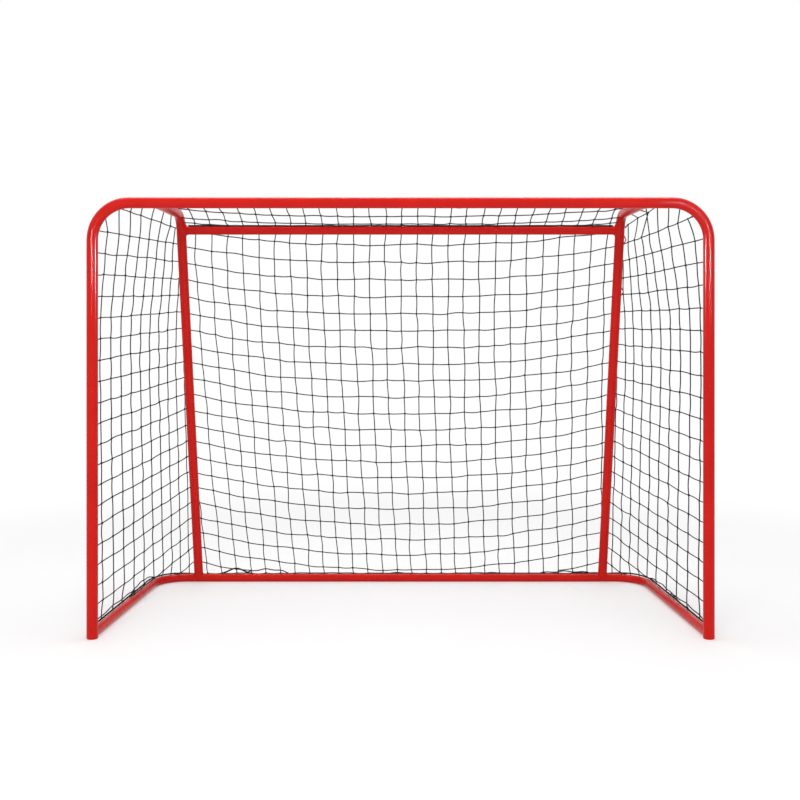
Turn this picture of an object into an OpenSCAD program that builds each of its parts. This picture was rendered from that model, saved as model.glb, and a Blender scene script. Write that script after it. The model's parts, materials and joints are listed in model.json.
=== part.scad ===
// Street hockey goal: a red steel tube frame with a knotted cord net.
// Millimetres. The goal stands on Z = 0 and is centred on X and Y.
// Its mouth faces -Y, its base and net reach back towards +Y.

/* [Front frame] */
// Clear width between the two posts
mouth_w = 1600; // [1200:10:1900]
// Clear height below the crossbar
mouth_h = 1137; // [900:1:1300]
// Outside diameter of the posts and the crossbar
post_d = 30; // [28:1:38]
// Wall of the posts and the crossbar
post_wall = 1.5; // [1.2:0.1:2.5]
// Centre line radius of the two upper corners
corner_r = 98; // [70:1:150]
// Length of the leg below each corner, down to the splice
leg_len = 85; // [75:1:200]

/* [Rear frame] */
// Depth of the goal on the floor, front post to rear bar, centre to centre
base_depth = 650; // [550:5:800]
// Depth of the rear top bar behind the crossbar
top_depth = 355; // [250:5:420]
// How far the rear top bar lies below the arms
top_bar_drop = 46; // [40:1:80]
// Outside diameter of the base tubes
rear_d = 25; // [22:1:28]
// Outside diameter of the rear uprights and their arms
upright_d = 28; // [26:1:29]
// Wall of the base tubes and the rear uprights
rear_wall = 1.5; // [1.2:0.1:2.5]
// Outside diameter of the rear top bar
top_bar_d = 26; // [18:1:26]
// How far each base tube leans in from the post to the rear corner
base_taper = 41; // [0:1:80]
// Centre line radius of the rear corners of the base
base_r = 100; // [70:1:140]
// Centre line radius at the top of the rear uprights
upright_r = 65; // [50:1:80]
// How far each rear upright stands in from its post, centre to centre
upright_inset = 167; // [162:1:260]
// Radius of the weld fillets in the corners between two tubes
weld_r = 13; // [6:1:16]

/* [Splices] */
// Length of each splice sleeve
sleeve_len = 130; // [110:1:150]
// Wall of a splice sleeve
sleeve_wall = 1.5; // [1.2:0.1:2]
// Radial gap between a sleeve and the tube around it
sleeve_gap = 0.15; // [0.1:0.05:0.3]
// Diameter of a snap button
button_d = 8; // [6:0.5:9]
// How far a snap button stands out of the post
button_proud = 3.5; // [2.5:0.25:4.5]
// Distance from the splice down to the button
button_drop = 34; // [25:1:45]
// Radial running gap around a snap button
button_gap = 0.08; // [0.05:0.01:0.1]
// Thickness of the leaf spring behind a button
leaf_t = 0.8; // [0.6:0.1:1.2]
// Length of the spigot that holds the foot of a rear upright
spigot_len = 60; // [40:1:90]
// Thickness of the plug that closes the foot of a post
plug_t = 4; // [3:0.5:6]

/* [Net] */
// Side of one drawn square of the net, two real meshes
net_cell = 100; // [90:1:140]
// Diameter of the net cord
net_cord = 3; // [2.5:0.5:4]
// How far the middle of the back net sags
net_sag = 48; // [0:1:60]
// Diameter of the rope along the hem of the net
rope_d = 5; // [4:0.5:8]

/* [Net loops] */
// Diameter of the wire that the net loops are bent from
loop_wire = 3; // [2.5:0.5:4]
// Length of a net loop along its tube
loop_len = 27; // [20:1:35]
// How far a net loop stands out of its tube
loop_reach = 8; // [6:0.5:8]
// Distance from one net loop to the next
loop_pitch = 158; // [120:1:200]

/* [Hidden] */

$fn = 48;
eps = 0.5;              // overshoot of a cut past the face it opens
seat_gap = 0.05;        // gap left where one curved tube seats on another
bend_thin = 0.15;       // how much thinner a tube is round its bends
lap = 1.5;              // how far a straight tube runs into a bend
net_gap = 0.5;          // gap between the net and what holds it
rope_gap = 0.4;         // gap between the hem rope and the tubes it lies on
rope_lift = 25;         // degrees that the rope lies above the side of a tube

post_r = post_d / 2;
rear_r = rear_d / 2;
upright_tube_r = upright_d / 2;
top_bar_r = top_bar_d / 2;
post_x = mouth_w / 2 + post_r;
bar_z = mouth_h + post_r;
corner_x = post_x - corner_r;
corner_z = bar_z - corner_r;
splice_z = corner_z - leg_len;

// The goal is centred front to back between the posts and the rear loops.
front_y = -(base_depth + rear_r + loop_reach - post_r) / 2;
rear_y = front_y + base_depth;
top_bar_y = front_y + top_depth;
upright_x = post_x - upright_inset;
top_bar_z = bar_z - top_bar_drop;

// Base: each side tube leaves its post and leans in to the rear corner.
rear_corner_x = post_x - base_taper;
taper_deg = atan(base_taper / base_depth);
base_turn = 90 - taper_deg;
base_tangent = base_r * tan(base_turn / 2);
side_len = norm([base_taper, base_depth]) - base_tangent;
rear_bar_x = rear_corner_x - base_tangent;

// Rear uprights: they lean forward to the top bar and bend into level arms.
lean = atan((base_depth - top_depth) / (top_bar_z - rear_r));
upright_turn = 90 - lean;
upright_tangent = upright_r * tan(upright_turn / 2);
elbow_y = rear_y - (bar_z - rear_r) * tan(lean);
upright_len = (bar_z - rear_r) / cos(lean) - upright_tangent;
arm_start_y = elbow_y - upright_tangent;
arm_len = arm_start_y - front_y;

sleeve_r = post_r - post_wall - sleeve_gap;
sleeve_bore_r = sleeve_r - sleeve_wall;
button_r = button_d / 2;
button_z = splice_z - button_drop;
flange_r = button_r + 2;
flange_t = 1.2;
// The flange stops where its rim meets the round inner wall of the sleeve.
flange_face = sqrt(pow(sleeve_bore_r, 2) - pow(flange_r, 2)) - button_gap;
leaf_w = button_d;
leaf_len = 40;

rear_bore_r = rear_r - rear_wall;
upright_bore_r = upright_tube_r - rear_wall;
spigot_r = upright_bore_r - sleeve_gap;
plug_stem = 22;
plug_edge = 2.5;

// ---------- tubes ----------

// A rod from z = 0 to z = len
module rod(len, r) {
    cylinder(h = len, r = r);
}

// A rod bent in the XY plane round the origin: it comes along +X for in_len at
// y = line_r, turns down by the angle turn, and runs on for out_len
module bent_rod(line_r, r, turn, in_len, out_len) {
    if (in_len > 0) translate([-in_len, line_r, 0]) rotate([0, 90, 0]) rod(in_len + lap, r);
    rotate([0, 0, 90 - turn]) rotate_extrude(angle = turn, $fn = 96)
        translate([line_r, 0]) circle(r = r - bend_thin);
    rotate([0, 0, -turn]) translate([-lap, line_r, 0]) rotate([0, 90, 0])
        rod(out_len + lap, r);
}

// The right half as drawn, the left half as its mirror image
module on_side(side) {
    if (side > 0) children();
    else mirror([1, 0, 0]) children();
}

// ---------- front frame ----------

module crossbar_core(r) {
    translate([-corner_x, front_y, bar_z]) rotate([0, 90, 0]) rod(2 * corner_x, r);
}

// The crossbar with its corners and legs, solid
module crossbar_run(r, over) {
    translate([-corner_x - lap, front_y, bar_z]) rotate([0, 90, 0]) rod(2 * (corner_x + lap), r);
    for (side = [-1, 1]) on_side(side) translate([corner_x, front_y, corner_z])
        rotate([90, 0, 0]) bent_rod(corner_r, r, 90, 0, leg_len + over);
}

module crossbar() {
    color("firebrick") difference() {
        crossbar_run(post_r, 0);
        crossbar_run(post_r - post_wall, eps);
    }
}

module post(side) {
    color("firebrick") difference() {
        translate([side * post_x, front_y, plug_t])
            rod(splice_z - plug_t, post_r);
        translate([side * post_x, front_y, plug_t - eps])
            rod(splice_z - plug_t + 2 * eps, post_r - post_wall);
        button_hole(side);
    }
}

module button_hole(side) {
    translate([side * post_x, front_y, button_z])
        rotate([-90, 0, 0]) rod(post_d, button_r + button_gap);
}

module splice_sleeve(side) {
    color("silver") difference() {
        translate([side * post_x, front_y, splice_z - sleeve_len / 2])
            rod(sleeve_len, sleeve_r);
        translate([side * post_x, front_y, splice_z - sleeve_len / 2 - eps])
            rod(sleeve_len + 2 * eps, sleeve_bore_r);
        button_hole(side);
    }
}

// A stepped pin with a rounded head; its flange stops inside the sleeve
module snap_button(side) {
    head = post_r + button_proud;
    round_off = button_r * 0.4;
    color("gainsboro")
        translate([side * post_x, front_y, button_z]) rotate([-90, 0, 0])
            rotate_extrude() intersection() {
                union() {
                    translate([0, flange_face - flange_t])
                        square([flange_r, flange_t]);
                    translate([0, flange_face - eps])
                        square([button_r, head - round_off - flange_face + eps]);
                    translate([0, head - round_off - eps])
                        square([button_r - round_off, round_off + eps]);
                    translate([button_r - round_off, head - round_off])
                        circle(r = round_off);
                }
                square([flange_r, head]);
            }
}

// A bent leaf: one leg lies behind the flange, the other on the front wall
module button_spring(side) {
    back = flange_face - flange_t - seat_gap;
    front = -sqrt(pow(sleeve_bore_r, 2) - pow(leaf_w / 2, 2)) + seat_gap;
    toe = button_r;
    outline = [
        [back, toe], [back, -toe], [front + leaf_t, -leaf_len],
        [front, -leaf_len], [front, 0], [front + leaf_t, 0],
        [front + leaf_t, -leaf_len + 3 * leaf_t], [back - leaf_t, -toe + leaf_t],
        [back - leaf_t, toe]];
    color("lightgray")
        translate([side * post_x - leaf_w / 2, front_y, button_z])
            rotate([90, 0, 90]) linear_extrude(leaf_w) polygon(outline);
}

module foot_plug(side) {
    stem_r = post_r - post_wall - sleeve_gap;
    color("firebrick")
        translate([side * post_x, front_y, 0]) rotate_extrude() {
            translate([0, plug_edge]) square([post_r, plug_t - plug_edge]);
            square([post_r - plug_edge, plug_t]);
            intersection() {
                translate([post_r - plug_edge, plug_edge]) circle(r = plug_edge);
                square([post_r, plug_t]);
            }
            translate([0, plug_t - eps]) square([stem_r, plug_stem + eps]);
        }
}

// ---------- base ----------

module post_core(side, r) {
    translate([side * post_x, front_y, -eps]) rod(splice_z, r);
}

// A side tube of the base, solid, with its bend into the rear bar
module base_side_run(r, over) {
    translate([rear_bar_x, rear_y - base_r, rear_r])
        bent_rod(base_r, r, base_turn, over, side_len);
}

module base_tube(side) {
    color("firebrick") on_side(side) difference() {
        base_side_run(rear_r, 0);
        base_side_run(rear_bore_r, eps);
        post_core(1, post_r + seat_gap);
    }
}

module rear_base_tube() {
    color("firebrick") difference() {
        translate([-rear_bar_x, rear_y, rear_r])
            rotate([0, 90, 0]) rod(2 * rear_bar_x, rear_r);
        translate([-rear_bar_x - eps, rear_y, rear_r])
            rotate([0, 90, 0]) rod(2 * rear_bar_x + 2 * eps, rear_bore_r);
    }
}

// ---------- rear uprights ----------

// Places its children at the foot of an upright, +Z along the upright
module at_upright(side) {
    translate([side * upright_x, rear_y, rear_r]) rotate([lean, 0, 0]) children();
}

// An upright with its elbow and its arm, solid
module upright_run(side, r, over) {
    translate([side * upright_x, arm_start_y, bar_z - upright_r]) rotate([90, 0, 90])
        bent_rod(upright_r, r, upright_turn, arm_len, upright_len + over);
}

module base_bar_core(r) {
    translate([-rear_bar_x, rear_y, rear_r]) rotate([0, 90, 0]) rod(2 * rear_bar_x, r);
}

module rear_upright(side) {
    color("firebrick") difference() {
        upright_run(side, upright_tube_r, 0);
        upright_run(side, upright_bore_r, eps);
        crossbar_core(post_r + seat_gap);
        base_bar_core(rear_r + seat_gap);
    }
}

module upright_spigot(side) {
    color("silver") difference() {
        at_upright(side) difference() {
            rod(rear_r + spigot_len, spigot_r);
            translate([0, 0, -eps])
                rod(rear_r + spigot_len + 2 * eps, spigot_r - rear_wall);
        }
        base_bar_core(rear_r + seat_gap);
    }
}

module rear_top_bar() {
    color("firebrick") difference() {
        translate([-upright_x, top_bar_y, top_bar_z])
            rotate([0, 90, 0]) rod(2 * upright_x, top_bar_r);
        translate([-upright_x - eps, top_bar_y, top_bar_z])
            rotate([0, 90, 0]) rod(2 * (upright_x + eps), top_bar_r - rear_wall);
        for (side = [-1, 1]) upright_run(side, upright_tube_r + seat_gap, 0);
    }
}

// ---------- welds ----------

// Fillets in the corners between a main tube on the Y axis and a branch
// tube along +X; both tubes are cut out of them afterwards
module weld_web(main_r, branch_r, corners = [-1, 1]) {
    for (corner = corners) scale([1, corner, 1])
        linear_extrude(branch_r, center = true) difference() {
            square([main_r + weld_r, branch_r + weld_r]);
            translate([main_r + weld_r, branch_r + weld_r]) circle(r = weld_r);
        }
}

module arm_core(side, r) {
    translate([side * upright_x, front_y, bar_z]) rotate([-90, 0, 0]) rod(arm_len, r);
}

module arm_welds() {
    color("firebrick") for (side = [-1, 1]) difference() {
        translate([side * upright_x, front_y, bar_z])
            rotate([0, 0, 90]) weld_web(post_r, upright_tube_r);
        crossbar_core(post_r + seat_gap);
        arm_core(side, upright_tube_r + seat_gap);
    }
}

module top_bar_welds() {
    color("firebrick") for (side = [-1, 1]) difference() {
        translate([side * upright_x, top_bar_y, top_bar_z]) rotate([lean, 0, 0])
            on_side(-side) rotate([90, 0, 0]) weld_web(upright_tube_r, top_bar_r);
        upright_run(side, upright_tube_r + seat_gap, 0);
        translate([-upright_x, top_bar_y, top_bar_z])
            rotate([0, 90, 0]) rod(2 * upright_x, top_bar_r + seat_gap);
    }
}

module base_welds() {
    color("firebrick") for (side = [-1, 1]) {
        difference() {
            at_upright(side) rotate([0, 0, 90]) rotate([0, -90, 0])
                weld_web(rear_r, upright_tube_r);
            at_upright(side) rod(upright_len, upright_tube_r + seat_gap);
            base_bar_core(rear_r + seat_gap);
        }
        difference() {
            on_side(side) translate([post_x, front_y, rear_r]) rotate([0, 0, 90 + taper_deg])
                rotate([90, 0, 0]) weld_web(post_r, rear_r, [1]);
            post_core(side, post_r + seat_gap);
            on_side(side) base_side_run(rear_r + seat_gap, 0);
        }
    }
}

// ---------- net loops ----------

// A straight piece of loop wire from point a to point b
module wire(a, b) {
    d = b - a;
    translate(a) rotate([0, acos(d[2] / norm(d)), atan2(d[1], d[0])])
        rod(norm(d), loop_wire / 2);
}

// A loop on a tube of radius r along the Z axis, standing out along +X
module net_loop(r) {
    tip = [r + loop_reach - loop_wire / 2, 0, 0];
    difference() {
        for (end = [-1, 1]) wire([r - eps, 0, end * loop_len / 2], tip);
        translate([0, 0, -loop_len]) rod(2 * loop_len, r + seat_gap);
    }
    translate(tip) sphere(r = loop_wire / 2);
}

// Loops one pitch apart along +Z, none further than len
module loop_row(r, len) {
    for (z = [0 : loop_pitch : len]) translate([0, 0, z]) net_loop(r);
}

// Rows on both halves of a bar that lies along X, loops facing +Y
module bar_loops(r, y, z, reach) {
    color("firebrick") for (side = [-1, 1])
        on_side(side) translate([loop_pitch / 2, y, z])
            rotate([0, 90, 0]) rotate([0, 0, 90]) loop_row(r, reach - loop_pitch / 2);
}

module crossbar_loops() {
    bar_loops(post_r, front_y, bar_z, upright_x - upright_tube_r - weld_r - loop_len);
}

module rear_base_loops() {
    bar_loops(rear_r, rear_y, rear_r, rear_bar_x - loop_len);
}

module post_loops(side) {
    color("firebrick") translate([side * post_x, front_y, loop_pitch])
        rotate([0, 0, 90]) loop_row(post_r, button_z - loop_len - loop_pitch);
}

module upright_loops(side) {
    top_loop = upright_len - loop_len;
    color("firebrick") on_side(side) at_upright(1)
        translate([0, 0, top_loop]) mirror([0, 0, 1])
            loop_row(upright_tube_r, top_loop - loop_pitch / 2);
}

module base_loops(side) {
    color("firebrick") on_side(side) translate([post_x, front_y, rear_r])
        rotate([0, 0, taper_deg]) rotate([-90, 0, 0])
            translate([0, 0, loop_pitch]) loop_row(rear_r, side_len - loop_pitch - loop_len);
}

// ---------- net ----------

net_r = net_cord / 2;
rope_r = rope_d / 2;
rope_off = max(rear_r, upright_tube_r / cos(rope_lift - lean)) + rope_gap + rope_r;
rope_z = rear_r + rope_off * sin(rope_lift);
hem_z = rear_d + 1.5 * net_cord;
edge_y = front_y + post_r + loop_reach + net_gap + net_r;
corner_net_x = upright_x + upright_tube_r + loop_reach + net_gap + net_r;
back_net_x = corner_net_x - net_cord - net_gap;
back_off = upright_tube_r + net_gap + net_r;
top_net_z = top_bar_z + top_bar_r + net_gap + net_r;

// Directions along an upright and square to it, away from the mouth
up_dir = [0, -sin(lean), cos(lean)];
back_dir = [0, cos(lean), sin(lean)];

function mix(a, b, u) = a + (b - a) * u;
function unit(d) = d / norm(d);

// Point beside an upright: t along it, off behind its centre line
function upright_point(x, off, t) = [x, rear_y, rear_r] + off * back_dir + t * up_dir;

// Length along an upright at which such a point is at height z
function upright_at(off, z) = (z - rear_r - off * sin(lean)) / cos(lean);

// Front edge of a side net: up behind the post, round the corner (v = 1),
// and on along the crossbar (v = 2)
post_run = corner_z - hem_z;
corner_run = corner_r * PI / 2;
front_run = post_run + corner_run;
front_end_x = upright_x + upright_tube_r + weld_r + loop_len;
function front_edge(v) =
    v > 1 ? [mix(corner_x, min(front_end_x, corner_x), v - 1), edge_y, bar_z]
    : v * front_run < post_run ? [post_x, edge_y, hem_z + v * front_run]
    : let (a = (v * front_run - post_run) / corner_r * 180 / PI)
        [corner_x + corner_r * cos(a), edge_y, corner_z + corner_r * sin(a)];

// Rear edge of a side net: up behind the upright (v = 1), over its elbow
// and forward beside the arm (v = 2)
elbow_run = upright_r * upright_turn * PI / 180;
arm_run = arm_start_y - edge_y - weld_r;
foot_t = upright_at(back_off, hem_z);
function rear_edge(v) =
    v <= 1 ? upright_point(corner_net_x, back_off, mix(foot_t, upright_len, v))
    : let (s = (v - 1) * (elbow_run + arm_run), a = min(1, s / elbow_run) * upright_turn,
           off = upright_r + back_off * (1 - a / upright_turn))
        upright_point(corner_net_x, -upright_r, upright_len)
            + off * (cos(a) * back_dir + sin(a) * up_dir) - [0, max(0, s - elbow_run), 0];

// Hem of the net round the base, at height z, from the post (u = 0) along the
// side tube, round the rear corner and along the rear bar to x = end_x (u = 1)
function hem_point(u, off, z, end_x) =
    let (bend_run = base_r * base_turn * PI / 180,
         s = u * (side_len + bend_run + rear_bar_x - end_x),
         out = [cos(taper_deg), sin(taper_deg)], along = [-sin(taper_deg), cos(taper_deg)],
         post = [post_x, front_y],
         a = (s - side_len) / base_r * 180 / PI,
         hub = post + side_len * along - base_r * out,
         p = s < side_len ? post + s * along + off * out
             : a < base_turn ? hub + (base_r + off) * (cos(a) * out + sin(a) * along)
             : [rear_bar_x - (s - side_len - bend_run), rear_y + off])
    [p[0], p[1], z];

// Straight from edge to edge, but drawn out to the hem in its lowest rows
hem_off = rope_off * cos(rope_lift);
hem_start = (post_r + loop_reach + net_gap + net_r) / (side_len + base_r * base_turn * PI / 180);
hem_fade = 0.3;
side_net = function (u, v)
    let (flat = mix(front_edge(v), rear_edge(v), u), level = mix(front_edge(0), rear_edge(0), u),
         hem = hem_point(mix(hem_start, 1, u), hem_off, hem_z, corner_net_x))
    flat + pow(max(0, 1 - v / hem_fade), 2) * (hem - level);

back_net_top = upright_at(back_off, top_bar_z + top_bar_r - net_r - net_gap);
back_net = function (u, v)
    let (x = 2 * u - 1, sag = net_sag * (1 - pow(x, 4)) * 4 * v * (1 - v))
    upright_point(x * back_net_x, back_off, mix(foot_t, back_net_top, v) - sag);

top_net = function (u, v)
    let (x = 2 * u - 1, rear = upright_point(0, back_off, back_net_top))
    [x * (upright_x - upright_tube_r - weld_r - net_cord),
     mix(edge_y, rear[1], v), mix(bar_z, top_net_z, v)];

// A sheet of square mesh through the points of a function of u and v, which
// each run over the sheet in cols and rows of meshes
module net_sheet(point, cols, rows, u_len, v_len, v_end = 1) {
    us = [for (i = [0 : cols], e = [-1, 1]) i / cols + e * net_r / u_len];
    vs = [for (j = [0 : rows], e = [-1, 1]) (j / rows + e * net_r / v_len) * v_end];
    nu = len(us);
    nv = len(vs);
    small = 0.001;
    points = [for (face = [-1, 1], v = vs, u = us)
        let (p = point(u, v), du = point(u + small, v) - p, dv = point(u, v + small) - p)
        p + face * net_r * unit(cross(du, dv))];
    function at(face, i, j) = (face * nv + j) * nu + i;
    function open(i, j) = i < 0 || j < 0 || i > nu - 2 || j > nv - 2
        || (i % 2 == 1 && j % 2 == 1);
    function quad(a, b, c, d) = [[a, b, c], [a, c, d]];
    cells = [for (i = [0 : nu - 2], j = [0 : nv - 2]) if (!open(i, j)) [i, j]];
    faces = [for (cell = cells) let (i = cell[0], j = cell[1]) each concat(
        quad(at(0, i, j), at(0, i + 1, j), at(0, i + 1, j + 1), at(0, i, j + 1)),
        quad(at(1, i, j), at(1, i, j + 1), at(1, i + 1, j + 1), at(1, i + 1, j)),
        open(i - 1, j) ? quad(at(0, i, j), at(0, i, j + 1), at(1, i, j + 1), at(1, i, j)) : [],
        open(i + 1, j) ? quad(at(0, i + 1, j), at(1, i + 1, j), at(1, i + 1, j + 1),
            at(0, i + 1, j + 1)) : [],
        open(i, j - 1) ? quad(at(0, i, j), at(1, i, j), at(1, i + 1, j), at(0, i + 1, j)) : [],
        open(i, j + 1) ? quad(at(0, i, j + 1), at(0, i + 1, j + 1), at(1, i + 1, j + 1),
            at(1, i, j + 1)) : [])];
    polyhedron(points, faces, convexity = 10);
}

back_cols = round(2 * back_net_x / net_cell);
back_rows = round((back_net_top - foot_t) / net_cell);
side_cols = round(base_depth / net_cell) - 1;
top_cols = back_cols;
top_rows = round(top_depth / net_cell) - 1;

module back_net() {
    color([0.13, 0.13, 0.14])
        net_sheet(back_net, back_cols, back_rows, 2 * back_net_x, back_net_top - foot_t);
}

module side_net(side) {
    color([0.13, 0.13, 0.14]) on_side(side)
        net_sheet(side_net, side_cols, back_rows + 2, base_depth, front_run, 2 - 1 / back_rows);
}

module top_net() {
    color([0.13, 0.13, 0.14])
        net_sheet(top_net, top_cols, top_rows, 2 * back_net_x, top_depth);
}

// The rope in the hem of the net, from post to post round the base
rope_sides = 8;
rope_rings = [6, 12, 8];     // along half the rope: side tube, bend, rear bar
module hem_rope() {
    bend_run = base_r * base_turn * PI / 180;
    run = side_len + bend_run + rear_bar_x;
    stops = [post_r + rope_d, side_len, side_len + bend_run, run];
    half = [for (k = [0 : 2], i = [k == 0 ? 0 : 1 : rope_rings[k]])
        hem_point(mix(stops[k], stops[k + 1], i / rope_rings[k]) / run, hem_off, rope_z, 0)];
    half_rings = len(half) - 1;
    path = concat(half, [for (i = [half_rings - 1 : -1 : 0])
        [-half[i][0], half[i][1], half[i][2]]]);
    last = len(path) - 1;
    rings = [for (i = [0 : last])
        let (way = unit(path[min(i + 1, last)] - path[max(i - 1, 0)]), out = [way[1], -way[0], 0])
        for (k = [0 : rope_sides - 1])
            let (a = 360 * (k + 0.5) / rope_sides)
            path[i] + rope_r * (cos(a) * out + sin(a) * [0, 0, 1])];
    wall = [for (i = [0 : last - 1], k = [0 : rope_sides - 1])
        let (a = i * rope_sides + k, b = i * rope_sides + (k + 1) % rope_sides)
        each [[a, a + rope_sides, b + rope_sides], [a, b + rope_sides, b]]];
    ends = concat([[for (k = [0 : rope_sides - 1]) k]],
        [[for (k = [rope_sides - 1 : -1 : 0]) last * rope_sides + k]]);
    color([0.1, 0.1, 0.11]) polyhedron(rings, concat(wall, ends));
}

crossbar();
post(-1);  // left_post
post(1);  // right_post
splice_sleeve(-1);  // left_splice_sleeve
splice_sleeve(1);  // right_splice_sleeve
snap_button(-1);  // left_snap_button
snap_button(1);  // right_snap_button
button_spring(-1);  // left_button_spring
button_spring(1);  // right_button_spring
foot_plug(-1);  // left_foot_plug
foot_plug(1);  // right_foot_plug
base_tube(-1);  // left_base_tube
base_tube(1);  // right_base_tube
rear_base_tube();
rear_upright(-1);  // left_rear_upright
rear_upright(1);  // right_rear_upright
rear_top_bar();
upright_spigot(-1);  // left_upright_spigot
upright_spigot(1);  // right_upright_spigot
arm_welds();
top_bar_welds();
base_welds();
crossbar_loops();
post_loops(-1);  // left_post_loops
post_loops(1);  // right_post_loops
upright_loops(-1);  // left_upright_loops
upright_loops(1);  // right_upright_loops
base_loops(-1);  // left_base_loops
base_loops(1);  // right_base_loops
rear_base_loops();
back_net();
side_net(-1);  // left_side_net
side_net(1);  // right_side_net
top_net();
hem_rope();
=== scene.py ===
# %% [markdown]
# # A street hockey goal in red tube and black net
# The goal is a bent steel frame with a red powder coat and a knotted net of thin black cord.
# The tubes come finished from the CAD model and only need a coat of paint here.
# The net is the soft part: this lesson ties it cord by cord, and then lights the goal in a studio.

# %% Load the frame
import json
import math

import bpy
import numpy as np
from mathutils import Matrix, Vector


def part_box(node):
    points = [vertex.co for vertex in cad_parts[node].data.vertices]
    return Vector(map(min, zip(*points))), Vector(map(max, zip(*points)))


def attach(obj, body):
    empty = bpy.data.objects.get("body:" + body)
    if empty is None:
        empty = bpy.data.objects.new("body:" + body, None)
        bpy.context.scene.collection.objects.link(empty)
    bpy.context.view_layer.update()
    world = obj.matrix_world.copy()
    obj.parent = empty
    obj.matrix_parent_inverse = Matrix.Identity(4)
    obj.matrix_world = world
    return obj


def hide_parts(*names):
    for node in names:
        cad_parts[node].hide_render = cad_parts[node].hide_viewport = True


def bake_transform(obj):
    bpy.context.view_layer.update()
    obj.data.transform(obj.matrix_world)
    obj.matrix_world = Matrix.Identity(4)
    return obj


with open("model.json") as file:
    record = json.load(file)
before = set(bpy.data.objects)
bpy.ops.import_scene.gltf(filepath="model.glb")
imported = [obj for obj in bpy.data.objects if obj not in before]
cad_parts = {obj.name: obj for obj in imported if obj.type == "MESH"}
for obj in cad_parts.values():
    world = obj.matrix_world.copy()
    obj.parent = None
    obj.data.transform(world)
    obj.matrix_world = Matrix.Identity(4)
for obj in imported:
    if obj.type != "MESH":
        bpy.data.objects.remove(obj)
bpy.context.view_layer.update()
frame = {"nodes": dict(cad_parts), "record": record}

# %% [markdown]
# ## Reading the sizes off the frame
# Every cord hangs from a tube, so its place is worked out from where the tubes are.
# Typing the sizes in again would be quicker, but a net tied to the boxes of the CAD nodes stays
# on its tubes when the frame changes.

# %% Measure the tubes


def middle(node):
    """The centre and half-size of a CAD node's box."""
    low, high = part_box(node)
    return (low + high) / 2, (high - low) / 2


MM = 0.001
post_mid, post_half = middle("right_post")
base_mid, base_half = middle("rear_base_tube")
bar_mid, bar_half = middle("rear_top_bar")
upright_mid, upright_half = middle("right_rear_upright")

POST_X, FRONT_Y, POST_R = post_mid.x, post_mid.y, post_half.x
SPLICE_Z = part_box("right_post")[1].z
BAR_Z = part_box("crossbar")[1].z - POST_R
REAR_Y, REAR_R = base_mid.y, base_half.z
TOP_BAR_Y, TOP_BAR_Z, TOP_BAR_R = bar_mid.y, bar_mid.z, bar_half.z
UPRIGHT_X, UPRIGHT_R = upright_mid.x, upright_half.x
LEAN = math.atan2(REAR_Y - TOP_BAR_Y, TOP_BAR_Z - REAR_R)
CORNER_R = 98 * MM
print(f"posts at x = {POST_X:.3f} m, uprights at x = {UPRIGHT_X:.3f} m")
print(f"uprights lean {math.degrees(LEAN):.1f} degrees")

# %% [markdown]
# ## The camera
# The camera looks square on into the mouth from about chest height, so the posts stay upright.
# Tilting it down to centre the goal would make the posts converge. A shift lens does not: it
# keeps the camera level and slides the picture instead.

# %% Place the camera
CAMERA_BACK = 3.01
CAMERA_Z = 0.85
IMAGE_WIDTH_PX = 800
MOUTH_PX_PER_METRE = 378.3
SHIFT_ACROSS, SHIFT_UP = -0.0007, -0.1038


def add_camera():
    """A level camera, whose picture is as wide as the goal's mouth needs."""
    data = bpy.data.cameras.new("camera")
    data.sensor_width = 36
    data.lens = data.sensor_width * CAMERA_BACK * MOUTH_PX_PER_METRE / IMAGE_WIDTH_PX
    data.shift_x = SHIFT_ACROSS
    data.shift_y = SHIFT_UP
    data.clip_end = 100
    camera = bpy.data.objects.new("camera", data)
    camera.location = (0, FRONT_Y - CAMERA_BACK, CAMERA_Z)
    camera.rotation_euler = (math.pi / 2, 0, 0)
    bpy.context.scene.collection.objects.link(camera)
    bpy.context.scene.camera = camera
    return camera


add_camera()
bpy.context.scene.view_settings.view_transform = "Standard"
print("lens", round(bpy.context.scene.camera.data.lens, 1), "mm")

# %% [markdown]
# ## Building materials from nodes
# A finish is more than a colour. Each one here gets a little colour drift, an uneven roughness
# and a fine bump, all made from noise in object space, so nothing needs unwrapping or images.

# %% Helpers for materials


def new_material(name):
    """A material with its nodes, and its shader."""
    mat = bpy.data.materials.new(name)
    mat.use_nodes = True
    return mat, mat.node_tree.nodes, mat.node_tree.links, mat.node_tree.nodes["Principled BSDF"]


def noise(nodes, links, scale, detail=3.0, stretch=(1, 1, 1)):
    """Noise in object space, in metres; stretch draws it out along an axis."""
    coord = nodes.new("ShaderNodeTexCoord")
    mapping = nodes.new("ShaderNodeMapping")
    mapping.inputs["Scale"].default_value = stretch
    texture = nodes.new("ShaderNodeTexNoise")
    texture.inputs["Scale"].default_value = scale
    texture.inputs["Detail"].default_value = detail
    links.new(coord.outputs["Object"], mapping.inputs["Vector"])
    links.new(mapping.outputs["Vector"], texture.inputs["Vector"])
    return texture.outputs["Fac"]


def ramp(nodes, links, value, stops):
    """A colour ramp over value; stops are (position, colour) pairs."""
    node = nodes.new("ShaderNodeValToRGB")
    elements = node.color_ramp.elements
    while len(elements) < len(stops):
        elements.new(0.5)
    for element, (place, colour) in zip(elements, stops):
        element.position = place
        element.color = (*colour, 1)
    links.new(value, node.inputs["Fac"])
    return node.outputs["Color"]


def spread(nodes, links, value, low, high, start=0.0, end=1.0):
    """Value from start to end mapped to low to high."""
    node = nodes.new("ShaderNodeMapRange")
    node.inputs["From Min"].default_value = start
    node.inputs["From Max"].default_value = end
    node.inputs["To Min"].default_value = low
    node.inputs["To Max"].default_value = high
    links.new(value, node.inputs["Value"])
    return node.outputs["Result"]


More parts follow.
